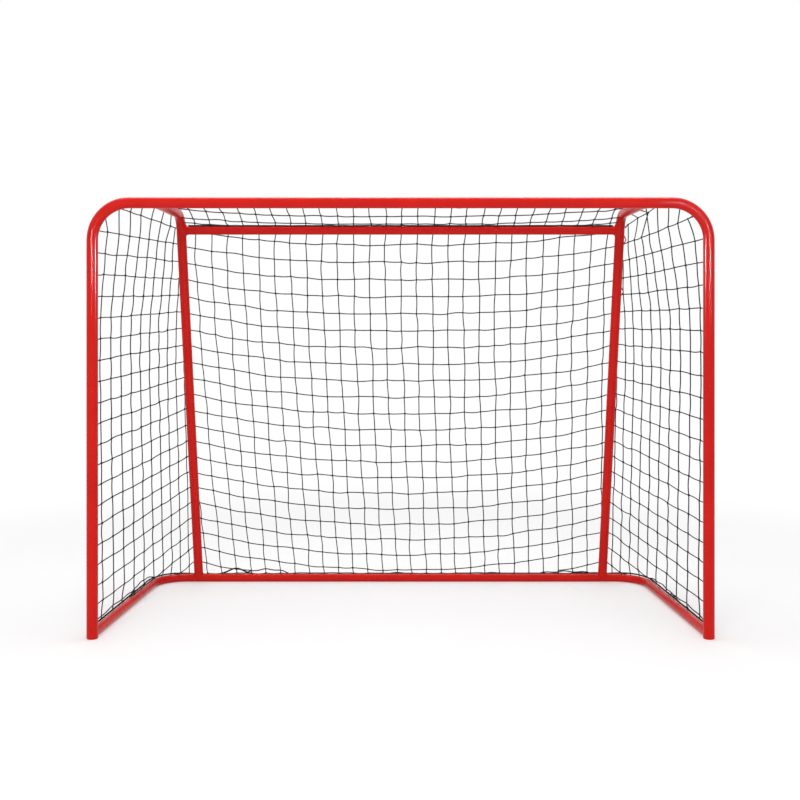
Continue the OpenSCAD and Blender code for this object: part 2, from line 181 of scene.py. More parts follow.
def maths(nodes, links, operation, *values):
    """The result of a math node; each value is a socket or a number."""
    node = nodes.new("ShaderNodeMath")
    node.operation = operation
    for value, slot in zip(values, node.inputs):
        if isinstance(value, float):
            slot.default_value = value
        else:
            links.new(value, slot)
    return node.outputs["Value"]


def add_bump(nodes, links, shader, height, distance):
    """A bump of that depth in metres on the shader's normal."""
    node = nodes.new("ShaderNodeBump")
    node.inputs["Distance"].default_value = distance
    links.new(height, node.inputs["Height"])
    links.new(node.outputs["Normal"], shader.inputs["Normal"])


print("helpers: new_material, noise, ramp, spread, maths, add_bump")

# %% [markdown]
# ## Red powder coat
# Powder coat melts onto the steel as a thick glossy skin with a faint orange peel. A clear coat
# over a red base gives the two reflections of a real coat. Low down, where boots and sticks
# scrape the tubes, the gloss is duller and the red a little darker.

# %% Mix the powder coat
RED = (0.69, 0.0115, 0.0075)
RED_DEEP = (0.63, 0.0098, 0.0062)
RED_SCUFFED = (0.46, 0.0110, 0.0080)
SCUFFED_BELOW = 0.12
SCUFF_DULLS = 0.25
PEEL_DEPTH = 0.0000003


def red_powder_coat():
    """The red coat: two reds, scuffs near the floor, and a glossy clear skin."""
    mat, nodes, links, shader = new_material("red_powder_coat")
    drift = noise(nodes, links, 9, 2)
    colour = ramp(nodes, links, drift, [(0.35, RED_DEEP), (0.65, RED)])
    coord = nodes.new("ShaderNodeTexCoord")
    split = nodes.new("ShaderNodeSeparateXYZ")
    links.new(coord.outputs["Object"], split.inputs["Vector"])
    low_down = spread(nodes, links, split.outputs["Z"], 0, 1, SCUFFED_BELOW, 0)
    scrapes = ramp(nodes, links, noise(nodes, links, 170, 5, (1, 1, 0.35)),
                   [(0.60, (0, 0, 0)), (0.66, (1, 1, 1))])
    scuff = maths(nodes, links, "MULTIPLY", low_down, scrapes)
    mix = nodes.new("ShaderNodeMix")
    mix.data_type = "RGBA"
    mix.inputs["B"].default_value = (*RED_SCUFFED, 1)
    links.new(scuff, mix.inputs["Factor"])
    links.new(colour, mix.inputs["A"])
    links.new(mix.outputs["Result"], shader.inputs["Base Color"])
    gloss = spread(nodes, links, noise(nodes, links, 25, 2), 0.30, 0.36)
    rough = maths(nodes, links, "MULTIPLY_ADD", scuff, SCUFF_DULLS, gloss)
    links.new(rough, shader.inputs["Roughness"])
    shader.inputs["Specular IOR Level"].default_value = 0.06
    shader.inputs["Coat Weight"].default_value = 0.35
    shader.inputs["Coat IOR"].default_value = 1.3
    shader.inputs["Coat Roughness"].default_value = 0.10
    add_bump(nodes, links, shader, noise(nodes, links, 200, 1), PEEL_DEPTH)
    return mat


powder_red = red_powder_coat()
print(powder_red.name, "has", len(powder_red.node_tree.nodes), "nodes")

# %% [markdown]
# ## Bare steel inside the joints
# The sleeves, spigots, springs and buttons are zinc plated or plain steel. Plated steel is a
# metal with a cloudy, slightly blotchy gloss; turned or drawn parts have fine lines along them.

# %% Mix the steels


def plain_steel(name, light, dark, rough_low, rough_high, grain):
    """A bare metal; grain draws its fine lines out along an axis."""
    mat, nodes, links, shader = new_material(name)
    links.new(ramp(nodes, links, noise(nodes, links, 240, 5), [(0.3, dark), (0.7, light)]),
              shader.inputs["Base Color"])
    shader.inputs["Metallic"].default_value = 1.0
    links.new(spread(nodes, links, noise(nodes, links, 900, 3, grain), rough_low, rough_high),
              shader.inputs["Roughness"])
    add_bump(nodes, links, shader, noise(nodes, links, 2600, 2, grain), 0.00003)
    return mat


zinc = plain_steel("zinc_plate", (0.66, 0.67, 0.70), (0.50, 0.51, 0.53), 0.28, 0.45, (1, 1, 0.1))
bright = plain_steel("bright_steel", (0.78, 0.78, 0.79), (0.62, 0.62, 0.63), 0.14, 0.26, (1, 0.1, 1))
blued = plain_steel("blued_spring", (0.30, 0.32, 0.36), (0.20, 0.21, 0.24), 0.30, 0.42, (0.1, 1, 1))
print("steels:", zinc.name, bright.name, blued.name)

# %% [markdown]
# ## Black net cord
# The cord is twisted polyethylene: nearly black, a little shiny on each strand, and paler where
# dust sits in the lay. Diagonal ridges from a wave texture stand in for the twist, because real
# strands this thin would cost millions of faces.

# %% Mix the cord


def twisted_cord(name, dark, light, ridges):
    """A dark plastic cord, with ridges per metre for its twist."""
    mat, nodes, links, shader = new_material(name)
    links.new(ramp(nodes, links, noise(nodes, links, 70, 4), [(0.3, dark), (0.75, light)]),
              shader.inputs["Base Color"])
    links.new(spread(nodes, links, noise(nodes, links, 300, 2), 0.55, 0.8), shader.inputs["Roughness"])
    shader.inputs["Specular IOR Level"].default_value = 0.2
    coord = nodes.new("ShaderNodeTexCoord")
    wave = nodes.new("ShaderNodeTexWave")
    wave.bands_direction = "DIAGONAL"
    wave.inputs["Scale"].default_value = ridges
    wave.inputs["Distortion"].default_value = 1.5
    links.new(coord.outputs["Object"], wave.inputs["Vector"])
    add_bump(nodes, links, shader, wave.outputs["Fac"], 0.0003)
    return mat


net_black = twisted_cord("net_black", (0.012, 0.012, 0.014), (0.035, 0.035, 0.040), 160)
rope_black = twisted_cord("rope_black", (0.008, 0.008, 0.010), (0.022, 0.022, 0.026), 110)
print("cords:", net_black.name, rope_black.name)

# %% [markdown]
# ## Painting the carried-over tubes
# Each CAD node keeps its shape and only changes its material. The record already says which
# finish each node has, so a small table from slot to material is all that is needed.

# %% Paint the CAD nodes
FINISH = {
    "red_powder_coat": powder_red,
    "zinc_plated_steel": zinc,
    "bright_steel": bright,
    "spring_steel": blued,
    "net_cord": net_black,
    "hem_cord": rope_black,
}


def paint(obj, mat):
    """Gives the object that one material."""
    obj.data.materials.clear()
    obj.data.materials.append(mat)


for part in frame["record"]["subparts"]:
    paint(frame["nodes"][part["node"]], FINISH[part["material_slot"]])

# %% [markdown]
# ## A bin for cords
# A net holds thousands of short tubes. Making an object for each would be slow, so all the tubes
# and knots of one panel are gathered in a bin of points and faces and become one mesh.

# %% The cord bin


class CordBin:
    """Gathers tubes and knots, then makes one smooth mesh of them."""

    def __init__(self):
        self.points = []
        self.faces = []
        self.count = 0

    def add(self, points, faces):
        """Adds points, and faces that count from the first of them."""
        self.points.append(points)
        self.faces.extend([tuple(self.count + i for i in face) for face in faces])
        self.count += len(points)

    def tube(self, path, radius, sides=6):
        """A tube along the path, with closed ends."""
        path = np.asarray(path, float)
        along = np.gradient(path, axis=0)
        along /= np.linalg.norm(along, axis=1)[:, None]
        side = np.cross(along[0], (0.3, 0.5, 0.81))
        rings = []
        for spot, way in zip(path, along):
            side = side - way * side.dot(way)
            side /= np.linalg.norm(side)
            other = np.cross(way, side)
            for k in range(sides):
                a = 2 * math.pi * k / sides
                rings.append(spot + radius * (math.cos(a) * side + math.sin(a) * other))
        faces = []
        last = len(path) - 1
        for i in range(last):
            for k in range(sides):
                a, b = i * sides + k, i * sides + (k + 1) % sides
                faces.append((a, b, b + sides, a + sides))
        faces.append(tuple(range(sides - 1, -1, -1)))
        faces.append(tuple(last * sides + k for k in range(sides)))
        self.add(np.array(rings), faces)

    def make(self, name, mat, slot, *replaced, rides="frame"):
        """One object of all that is in the bin, which stands for the replaced CAD nodes."""
        mesh = bpy.data.meshes.new(name)
        mesh.from_pydata(np.concatenate(self.points).tolist(), [], self.faces)
        mesh.polygons.foreach_set("use_smooth", [True] * len(mesh.polygons))
        mesh.update()
        obj = bpy.data.objects.new(name, mesh)
        bpy.context.scene.collection.objects.link(obj)
        paint(obj, mat)
        if rides:
            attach(obj, rides)
        if replaced:
            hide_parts(*replaced)
        print(f"{name}: {len(mesh.vertices)} points, {len(mesh.polygons)} faces")
        return obj


print("a bin has:", *[name for name in vars(CordBin) if not name.startswith("_")])

# %% [markdown]
# ## A net knot
# Where two cords cross, the net maker ties a sheet bend: a small hard lump about three cords
# across. A ball would look like a bead, so the lump is a sphere with a spiral pinch pressed into
# it, turned a different way at each crossing.

# %% The knot shape
CORD_R = 1.6 * MM
KNOT_R = 3.2 * MM
KNOT_TURNS = 8
KNOT_RINGS = 5
PINCH = 0.20
KNOT_WIDTH, KNOT_HEIGHT = 0.85, 0.95


def knot_shape():
    """Points and faces of one knot of unit radius."""
    points = [(0, 0, 1)]
    for j in range(1, KNOT_RINGS):
        tilt = math.pi * j / KNOT_RINGS
        for i in range(KNOT_TURNS):
            a = 2 * math.pi * i / KNOT_TURNS
            r = (1 + PINCH * math.sin(2 * a + 3 * tilt)) * math.sin(tilt)
            points.append((r * math.cos(a), KNOT_WIDTH * r * math.sin(a), KNOT_HEIGHT * math.cos(tilt)))
    points.append((0, 0, -1))
    faces = [(0, 1 + i, 1 + (i + 1) % KNOT_TURNS) for i in range(KNOT_TURNS)]
    for j in range(KNOT_RINGS - 2):
        for i in range(KNOT_TURNS):
            a, b = 1 + j * KNOT_TURNS + i, 1 + j * KNOT_TURNS + (i + 1) % KNOT_TURNS
            faces.append((a, a + KNOT_TURNS, b + KNOT_TURNS, b))
    last, ring = len(points) - 1, 1 + (KNOT_RINGS - 2) * KNOT_TURNS
    faces += [(last, ring + (i + 1) % KNOT_TURNS, ring + i) for i in range(KNOT_TURNS)]
    return np.array(points), faces


KNOT_POINTS, KNOT_FACES = knot_shape()


def add_knot(net, place, rng):
    """A knot at place, turned and sized by chance."""
    a, b = rng.uniform(0, math.pi, 2)
    turn = np.array(Matrix.Rotation(a, 3, "Z") @ Matrix.Rotation(b, 3, "X"))
    net.add(place + KNOT_R * rng.uniform(0.88, 1.12) * KNOT_POINTS @ turn.T, KNOT_FACES)


print("a knot has", len(KNOT_POINTS), "points and", len(KNOT_FACES), "faces")


# %% [markdown]
# ## Tying a panel
# A panel is a grid of crossings. Each row and column is one long cord that passes through its
# crossings, wanders a millimetre or two between them, and droops a little. The function takes the
# crossings as a grid with gaps (None) where the net has ended, so a panel may have any outline.

# %% Tie rows and columns
STEPS = 4


def cord_path(crossings, rng, wander, droop):
    """Points of one cord through its crossings, with a loose stretch between each two."""
    path = []
    for a, b in zip(crossings[:-1], crossings[1:]):
        bend = rng.normal(0, wander, 3) - np.array((0, 0, droop))
        for k in range(STEPS):
            t = k / STEPS
            path.append(a + (b - a) * t + bend * 4 * t * (1 - t))
    path.append(crossings[-1])
    return np.array(path)


def runs(line):
    """The unbroken stretches of a line of crossings that has gaps."""
    found, run = [], []
    for spot in list(line) + [None]:
        if spot is not None:
            run.append(spot)
        else:
            if len(run) > 1:
                found.append(run)
            run = []
    return found


print("a cord has", STEPS, "stretches from crossing to crossing")

# %% [markdown]
# ## Where the back net hangs
# The back net and the top net are one piece. It climbs behind the leaning uprights, bends over
# the rear top bar and runs forward to the crossbar. Its side view is one curve, so a crossing
# needs only two numbers: how far up that curve it is, and how far to the side.

# %% The curve of the back and top net
NET_OFF = UPRIGHT_R + 2 * MM
TOP_START = 1.085
UP = np.array((0, -math.sin(LEAN), math.cos(LEAN)))
BACK = np.array((0, math.cos(LEAN), math.sin(LEAN)))
ROOF = [(-0.040, 1.141), (-0.088, 1.1605), (-0.140, 1.163), (-0.195, 1.162), (-0.250, 1.158)]


def behind_upright(x, z, off=NET_OFF):
    """The point behind the uprights at that height."""
    y = REAR_Y - (z - REAR_R) * math.tan(LEAN) + off / math.cos(LEAN)
    return np.array((x, y, z))


def roof_curve():
    """Points (y, z) from the start of the top net over the bar to the crossbar, and their runs."""
    start = behind_upright(0, TOP_START)
    r = TOP_BAR_R + CORD_R
    wrap = [(TOP_BAR_Y + r * math.cos(a), TOP_BAR_Z + r * math.sin(a)) for a in (LEAN, 0.7, 1.15, 1.7)]
    end = (FRONT_Y + POST_R + 8 * MM, BAR_Z)
    points = np.array([(start[1], start[2])] + wrap + ROOF + [end])
    runs_to = np.concatenate(([0], np.cumsum(np.linalg.norm(np.diff(points, axis=0), axis=1))))
    return points, runs_to


ROOF_POINTS, ROOF_RUNS = roof_curve()
ROOF_END = TOP_START + ROOF_RUNS[-1]


def on_curve(x, v):
    """The point at x and at v up the curve, where v is the height until the curve turns over."""
    if v < TOP_START:
        return behind_upright(x, v)
    run = v - TOP_START
    return np.array((x, np.interp(run, ROOF_RUNS, ROOF_POINTS[:, 0]),
                     np.interp(run, ROOF_RUNS, ROOF_POINTS[:, 1])))


print(f"the curve is {ROOF_END:.3f} m long")

# %% [markdown]
# ## Rows and columns of the back
# A real net is never as square as its drawing. The rows are held up at the uprights and hang a
# full mesh lower in the middle, and the columns lean a little to one side on their way down.
# These two rules give the tired curve of a used net.

# %% Place the rows and columns
MESH = 47.1 * MM
HALF_COLUMNS = 14
BACK_ROWS = 22
FIRST_ROW_Z, ROW_PITCH = 1.115, 0.0499
MIDDLE_DROP, MORE_DROP = 0.0500, 0.0016
BOW_POWER, LESS_BOW = 2.9, 0.04
CORNER_X = UPRIGHT_X + 11 * MM
COLUMN_LEAN, LEAN_POWER = 0.030, 1.6
LEAN_BELOW, LEAN_RUN = 1.05, 0.9
ROOF_FROM, ROOF_TO = 1.06, 1.12
BAR_SHIFT, ROOF_SQUEEZE = 4.5 * MM, 0.004


def between(value, start, end):
    """0 before start, 1 past end and evenly rising on the way; end may be the lower one."""
    return min(1, max(0, (value - start) / (end - start)))


def row_level(row, x):
    """Height of a row of the back at x: high at the uprights, a mesh lower in the middle."""
    power = BOW_POWER - LESS_BOW * row
    drop = MIDDLE_DROP + MORE_DROP * row
    return FIRST_ROW_Z - ROW_PITCH * row - drop * (1 - min(1, abs(x) / CORNER_X) ** power)


def column_x(column, v):
    """Where a column is at v: it leans to one side, and shifts a little over the bar."""
    x = MESH * column + COLUMN_LEAN * max(0, (LEAN_BELOW - v) / LEAN_RUN) ** LEAN_POWER
    roof = between(v, ROOF_FROM, ROOF_TO)
    x = x * (1 - ROOF_SQUEEZE * roof) + BAR_SHIFT * roof
    return max(-CORNER_X + 4 * MM, min(CORNER_X - 8 * MM, x))


print(2 * HALF_COLUMNS + 1, "columns and", BACK_ROWS, "rows, the first at", FIRST_ROW_Z, "m")

# %% [markdown]
# ## The edges of the back
# At each upright the net turns the corner into the side net: the rows end on a cord that runs
# up behind the tube. Over the rear bar the back and the top are sewn together with a thicker
# cord, which lies along the bar and takes the wear.

# %% Find the corners and the seam
CORNER_OFF = UPRIGHT_R + 3 * MM
HEM_Z = 24 * MM
SEAM_LIFT, SEAM_SHAKE = 0.6 * MM, 0.3 * MM
SEAM_ENDS = UPRIGHT_X - 22 * MM


def corner_point(side, v):
    """Where the net turns round an upright, at v up the curve."""
    spot = on_curve(side * CORNER_X, v)
    return spot if v > TOP_START else spot + (CORNER_OFF - NET_OFF) * BACK


def back_corners(net, levels):
    """The short ends of the rows, from the outer columns to the cord up each upright."""
    for side in (-1, 1):
        for level in levels:
            inner = column_x(side * HALF_COLUMNS, level(CORNER_X))
            net.tube([on_curve(inner, level(inner)), corner_point(side, level(CORNER_X))], CORD_R)
        net.tube([corner_point(side, v) for v in np.linspace(HEM_Z, TOP_START, 60)], CORD_R)


def bar_seam(rng):
    """The seam cord, which lies on the front of the bar's top."""
    r = TOP_BAR_R + CORD_R
    y, z = TOP_BAR_Y - 0.5 * r, TOP_BAR_Z + 0.87 * r + SEAM_LIFT
    return [(x, y + rng.normal(0, SEAM_SHAKE), z + rng.normal(0, SEAM_SHAKE))
            for x in np.linspace(-SEAM_ENDS, SEAM_ENDS, 90)]


print(f"the corner cords stand {CORNER_X:.3f} m out")

# %% [markdown]
# ## Tying the back and the top
# Every crossing is the meeting of a row and a column, moved a millimetre or two, because knots
# slip: partly in slow waves, which look like pulled cords, and partly by chance. The outer
# columns stop at the rear bar, so over the top the rows end on the arms instead.

# %% Tie the back and the top
TOP_ROWS = [1.412, 1.360, 1.309, 1.274, 1.200, 1.142, 1.104]
TOP_ROW_BOW = 0.055
WAVE_UP, WAVE_ACROSS = 1.8 * MM, 1.5 * MM
SLIP_UP, SLIP_ACROSS = 0.9 * MM, 0.8 * MM
WANDER, DROOP = 0.9 * MM, 0.6 * MM


def tie_panel(net, grid, rng):
    """Ties a grid of crossings: rows between their gaps, columns across them, and the knots."""
    for line in grid:
        for run in runs(line):
            net.tube(cord_path(run, rng, WANDER, DROOP), CORD_R)
    for line in zip(*grid):
        net.tube(cord_path([spot for spot in line if spot is not None], rng, WANDER, 0), CORD_R)
    for line in grid:
        for spot in line:
            if spot is not None:
                add_knot(net, spot, rng)


def back_line(number, level, columns, rng):
    """The crossings of one row, with None where the row has no column to meet."""
    line = []
    for c in columns:
        x = column_x(c, level(MESH * c))
        v = level(x) + WAVE_UP * math.sin(1.3 * c + 1.9 * number) + rng.normal(0, SLIP_UP)
        x += WAVE_ACROSS * math.sin(0.9 * number + 2.1 * c) + rng.normal(0, SLIP_ACROSS)
        hangs = HEM_Z + 3 * MM < v < ROOF_END - 22 * MM
        hangs = hangs and (number >= len(TOP_ROWS) or abs(c) < HALF_COLUMNS)
        line.append(on_curve(x, max(v, HEM_Z + 9 * MM)) if hangs else None)
    return line


def tie_back():
    """The back and the top of the net, as one piece."""
    rng = np.random.default_rng(11)
    net = CordBin()
    columns = list(range(-HALF_COLUMNS, HALF_COLUMNS + 1))
    grid = [[on_curve(column_x(c, ROOF_END), ROOF_END) if abs(c) < HALF_COLUMNS else None
             for c in columns]]
    levels = [lambda x, v=v: v + TOP_ROW_BOW * min(1, abs(x) / CORNER_X) ** BOW_POWER
              for v in TOP_ROWS]
    levels += [lambda x, row=row: row_level(row, x) for row in range(BACK_ROWS)]
    for number, level in enumerate(levels):
        line = back_line(number, level, columns, rng)
        for side, spot in ((-1, line[1]), (1, line[-2])):
            if number < len(TOP_ROWS) and spot is not None:
                end = side * (UPRIGHT_X - UPRIGHT_R + 1 * MM)
                net.tube([spot, on_curve(end, level(end))], CORD_R)
        grid.append(line)
    grid.append([on_curve(column_x(c, HEM_Z), HEM_Z) for c in columns])
    tie_panel(net, grid, rng)
    back_corners(net, levels[len(TOP_ROWS):])
    net.tube(bar_seam(rng), 1.3 * CORD_R)
    net.make("back_net_cords", net_black, "net_cord", "back_net", "top_net")


tie_back()

# %% [markdown]
# ## The foot of the side nets
# A side net ends at its foot on the rope in the hem, which follows the tubes on the floor: back
# along the side, round the bend and on along the rear. One number, the run from the right post,
# finds any point of it. The rope lies outside the tubes, high enough to pass the uprights' feet.

# %% Where the hem runs
BASE_R = 100 * MM
BASE_DEPTH, BASE_STEP_IN = 650 * MM, 41 * MM
TAPER = math.atan2(BASE_STEP_IN, BASE_DEPTH)
BASE_TURN = math.pi / 2 - TAPER
SIDE_RUN = 557.4 * MM
BEND_RUN = BASE_R * BASE_TURN
ROPE_R, ROPE_GAP = 2.5 * MM, 0.4 * MM
ROPE_LIFT = math.radians(25)
ROPE_REACH = UPRIGHT_R / math.cos(ROPE_LIFT - LEAN) + ROPE_GAP + ROPE_R
ROPE_OFF, ROPE_Z = ROPE_REACH * math.cos(ROPE_LIFT), REAR_R + ROPE_REACH * math.sin(ROPE_LIFT)
REAR_BAR_X = base_mid.x + base_half.x


def hem_point(s, lift=0.0):
    """The point beside the base tubes, s along them from the right post."""
    out = np.array((math.cos(TAPER), math.sin(TAPER)))
    along = np.array((-math.sin(TAPER), math.cos(TAPER)))
    post = np.array((POST_X, FRONT_Y))
    turn = (s - SIDE_RUN) / BASE_R
    if turn < 0:
        spot = post + s * along + ROPE_OFF * out
    elif turn < BASE_TURN:
        hub = post + SIDE_RUN * along - BASE_R * out
        spot = hub + (BASE_R + ROPE_OFF) * (math.cos(turn) * out + math.sin(turn) * along)
    else:
        spot = np.array((REAR_BAR_X - (s - SIDE_RUN - BEND_RUN), REAR_Y + ROPE_OFF))
    return np.array((spot[0], spot[1], ROPE_Z + lift))


print("base run", round(SIDE_RUN + BEND_RUN + REAR_BAR_X, 3), "m to the middle")

# %% [markdown]
# ## The rows of the side nets
# A row runs from the post to the upright, where it meets a row of the back. The rows are spaced
# wider at the post than at the upright, so low down they climb steeply to the rear, in line with
# the tube on the floor. The two sides were not hung alike: the right one sits higher at the front.

# %% Find where the rows start
EDGE_Y = FRONT_Y + POST_R + 7 * MM
CORNER_Z = BAR_Z - CORNER_R
FRONT_TOP = {-1: 1.143, 1: BAR_Z - 2 * MM}
FRONT_FIRST, FRONT_PITCH, FRONT_EASE = 1.1427, 0.06028, 0.000227
RIGHT_HIGHER, RIGHT_MORE, RIGHT_EVENS_OUT = 8 * MM, 3.3 * MM, 11
RIGHT_TOP_X = 0.689


def front_height(row, side):
    """Height at which a row of a side net meets the post."""
    if row == 0:
        return FRONT_TOP[side]
    height = FRONT_FIRST - FRONT_PITCH * row + FRONT_EASE * row * row
    return height + (RIGHT_HIGHER + RIGHT_MORE * max(0, RIGHT_EVENS_OUT - row)) * (side > 0)


def front_edge(height):
    """The front edge of a side net at a height: behind the post, then round the corner."""
    rise = between(height, CORNER_Z, BAR_Z)
    return np.array((POST_X - CORNER_R * (1 - math.sqrt(1 - rise * rise)), EDGE_Y, height))


def front_spot(row, side):
    """Where a row of a side net meets the post, the corner or the crossbar."""
    spot = front_edge(front_height(row, side))
    return np.array((RIGHT_TOP_X, EDGE_Y, spot[2])) if side > 0 and row == 0 else spot


print(f"the left net's rows start {FRONT_PITCH / MM:.0f} mm apart at the post")

# %% [markdown]
# ## The columns of the side nets
# A column is placed by the share of the way it has from the post to the upright. The shares
# spread on the way up and flare under the arm. Low down the net has to come out to its rope,
# so its crossings are moved there along the line of sight, which keeps the pattern even.

# %% Find where the columns run
SIDE_COLUMNS = 10
HEM_STOPS = [0.121, 0.219, 0.305, 0.400, 0.495, 0.590, 0.628, 0.655, 0.678, 0.706]
LOW_SHARE, LOW_STEP = 0.083, 0.0975
HIGH_SHARE, HIGH_STEP = 0.065, 0.1080
TUCK, TUCK_STEP = 0.012, 0.0035
TUCK_FROM, TUCK_FULL = 0.92, 0.72
FLARE_FROM, FLARE_TO, FLARE_ALL = 0.85, 1.07, 0.045
FLARE = {-1: (0.075, 1, 11, 1.1), 1: (0.10, 0.5, 9, 1.3)}
TOP_SHARES = {-1: (0.05, 0.163, 1), 1: (0, 0.28, 4)}
LAST_SHARE = 0.985
HEM_CLEAR = 12 * MM
SWING_BELOW = 0.30
EYE = np.array((0, FRONT_Y - CAMERA_BACK, CAMERA_Z))


def side_share(column, z, side):
    """How far back a column is at that height, from 0 at the post to 1 at the upright."""
    low, high = LOW_SHARE + LOW_STEP * column, HIGH_SHARE + HIGH_STEP * column
    share = low + (high - low) * between(z, 0, FLARE_FROM)
    share -= (TUCK + TUCK_STEP * column) * between(z, TUCK_FROM, TUCK_FULL)
    most, first, span, power = FLARE[side]
    flare = FLARE_ALL + most * math.sin(math.pi * (column + first) / span)
    return share + flare * between(z, FLARE_FROM, FLARE_TO) ** power


def top_spot(column, side):
    """A crossing of the top row, a straight cord that begins at the corner or the crossbar."""
    low, step, first = TOP_SHARES[side]
    share = low + step * (column - first)
    if not 0.01 < share < 0.99:
        return None
    rear = corner_point(1, row_level(0, CORNER_X))
    return (front_spot(0, side) * (1 - share) + rear * share) * (side, 1, 1)


def side_spot(column, row, side):
    """A crossing of a side net, or nothing where the net has ended."""
    if row == 0:
        return top_spot(column, side)
    front, rear = front_height(row, side), row_level(row, CORNER_X)
    z = (front + rear) / 2
    for _ in range(4):
        share = side_share(column, z, side)
        z = front + (rear - front) * share
    spot = front_edge(z) * (1 - share) + behind_upright(CORNER_X, z, CORNER_OFF) * share
    foot = hem_point(HEM_STOPS[column])
    level = front_edge(foot[2]) * (1 - share) + behind_upright(CORNER_X, foot[2], CORNER_OFF) * share
    reach = (foot[1] - EYE[1]) / (level[1] - EYE[1]) - 1
    spot = EYE + (spot - EYE) * (1 + reach * max(0, 1 - z / SWING_BELOW) ** 2)
    if not 0 < share < LAST_SHARE or spot[2] < foot[2] + HEM_CLEAR:
        return None
    return spot * (side, 1, 1)


print(SIDE_COLUMNS, "columns in each side net")

# %% [markdown]
# ## The lacing
# A net would slide down its posts if it weren't laced to them. One cord goes up behind the post,
# round the corner and along the crossbar to the arm. Over the arm itself six short ties join the
# side net to the top net, and the columns of the side end on whatever is above them.

# %% Lace the front edge and the arms
SIDE_TOPS = [(0.788, EDGE_Y, 1.120), (0.745, EDGE_Y, 1.147), (0.714, EDGE_Y, 1.152),
             (0.684, EDGE_Y, 1.152), (0.664, -0.255, 1.151), (0.664, -0.135, 1.152),
             (0.663, -0.045, 1.147), (0.662, 0.008, 1.112)]
ARM_TIES = (-0.255, -0.210, -0.165, -0.125, -0.085, -0.045)
TIE_R, TIE_SLANT = UPRIGHT_R + 1.5 * MM, 3 * MM
EDGE_FOOT = 28 * MM


def edge_path(side):
    """The cord laced up behind the post, round the corner and along the crossbar to the arm."""
    corner = [(POST_X - CORNER_R * (1 - math.cos(a)), EDGE_Y, CORNER_Z + CORNER_R * math.sin(a))
              for a in np.linspace(0, math.pi / 2, 12)]
    path = [(POST_X, EDGE_Y, z) for z in np.linspace(EDGE_FOOT, CORNER_Z - 20 * MM, 40)] + corner
    path += [(x, EDGE_Y, BAR_Z) for x in (0.700, 0.680, UPRIGHT_X + UPRIGHT_R + 12 * MM)]
    return np.array(path) * (side, 1, 1)


def arm_tie(side, y):
    """A stretch of cord from the side net over the arm to the top net."""
    return [(side * (UPRIGHT_X + TIE_R * math.cos(a)), y + TIE_SLANT * math.sin(2 * a),
             BAR_Z + TIE_R * math.sin(a)) for a in np.linspace(-0.3, math.pi / 2 + 0.1, 10)]


print(len(ARM_TIES), "ties on each arm")

# %% [markdown]
# ## Tying the sides
# The grid of a side net is ragged: low rows start at the rope instead of the post, and the rear
# columns never reach the top row. The same cords and knots as before fill it in, with a seed of
# its own for each side, so that the two aren't mirror images.

# %% Tie the sides
POST_ROWS = 20
SLIP = 1.0 * MM


def side_line(row, side, rng):
    """The crossings of one row, from the post to the upright, with None where there is none."""
    line = [front_spot(row, side) * (side, 1, 1) if row < POST_ROWS else None]
    for column in range(SIDE_COLUMNS):
        spot = side_spot(column, row, side)
        if spot is not None:
            spot = spot + rng.normal(0, SLIP, 3) * (0.4, 1, 1)
        line.append(spot)
    return line + [corner_point(side, row_level(row, CORNER_X))]


def tie_side(side, name, seed):
    """One side net, with its lacing, as one piece."""
    rng = np.random.default_rng(seed)
    net = CordBin()
    tops = [np.array(top) * (side, 1, 1) for top in SIDE_TOPS]
    grid = [[None] + tops + [None] * (SIDE_COLUMNS + 1 - len(tops))]
    grid += [side_line(row, side, rng) for row in range(BACK_ROWS)]
    hem = [hem_point(s) * (side, 1, 1) + (0, 0, 2 * MM) for s in HEM_STOPS]
    for line in grid[1:]:
        spots = [spot for spot in line if spot is not None]
        if line[0] is None and len(spots) < SIDE_COLUMNS:
            first = SIDE_COLUMNS + 1 - len(spots)
            spots.insert(0, (hem[first - 1] + hem[first]) / 2)
        net.tube(cord_path(spots, rng, WANDER, DROOP), CORD_R)
    grid.append([None] + hem + [None])
    for column in range(1, SIDE_COLUMNS + 1):
        spots = [line[column] for line in grid if line[column] is not None]
        net.tube(cord_path(spots, rng, WANDER, 0), CORD_R)
    net.tube(edge_path(side), CORD_R)
    for y in ARM_TIES:
        net.tube(arm_tie(side, y), CORD_R)
    for line in grid[1:-1]:
        for spot in line:
            if spot is not None:
                add_knot(net, spot, rng)
    net.make(f"{name}_net_cords", net_black, "net_cord", f"{name}_net")


tie_side(-1, "left_side", 5)
tie_side(1, "right_side", 6)

# %% [markdown]
# ## The rope at the foot
# A thicker rope runs in the hem, from post to post round the base. It lies against the tubes, but
# it is longer than they are, so it stands up in a few low humps. Some slack cords of the net's
# last row lie along it. A hump is (where, half length, height), a slack cord (start, end, height).

# %% Lay the hem rope
HALF_RUN = SIDE_RUN + BEND_RUN + REAR_BAR_X
ROPE_END = 22 * MM
HUMPS = [(-0.530, 0.034, 19 * MM), (-0.010, 0.030, 5 * MM), (0.330, 0.06, 3 * MM),
         (-0.74, 0.07, 5 * MM), (0.74, 0.07, 6 * MM), (0.60, 0.05, 3 * MM)]
SLACK_CORDS = [(-1.35, -0.95, 6), (-0.99, -0.78, 10), (-0.50, -0.36, 12),
               (0.80, 1.05, 7), (1.00, 1.32, 8), (0.45, 0.62, 5)]


def hem_at(s, lift):
    """The point of the hem at s, measured from the middle of the rear bar, negative to the left."""
    return hem_point(HALF_RUN - abs(s), lift) * (1 if s > 0 else -1, 1, 1)


def hump(s):
    """How far the rope stands up at s."""
    return sum(high * math.exp(-((s - at) / half) ** 2) for at, half, high in HUMPS)


def slack_path(start, end, high):
    """A slack cord over the rope: a low arch with a slow ripple."""
    return [hem_at(start + (end - start) * t,
                   (4 + high * 4 * t * (1 - t) + 1.5 * math.sin(17 * t)) * MM)
            for t in np.linspace(0, 1, 40)]


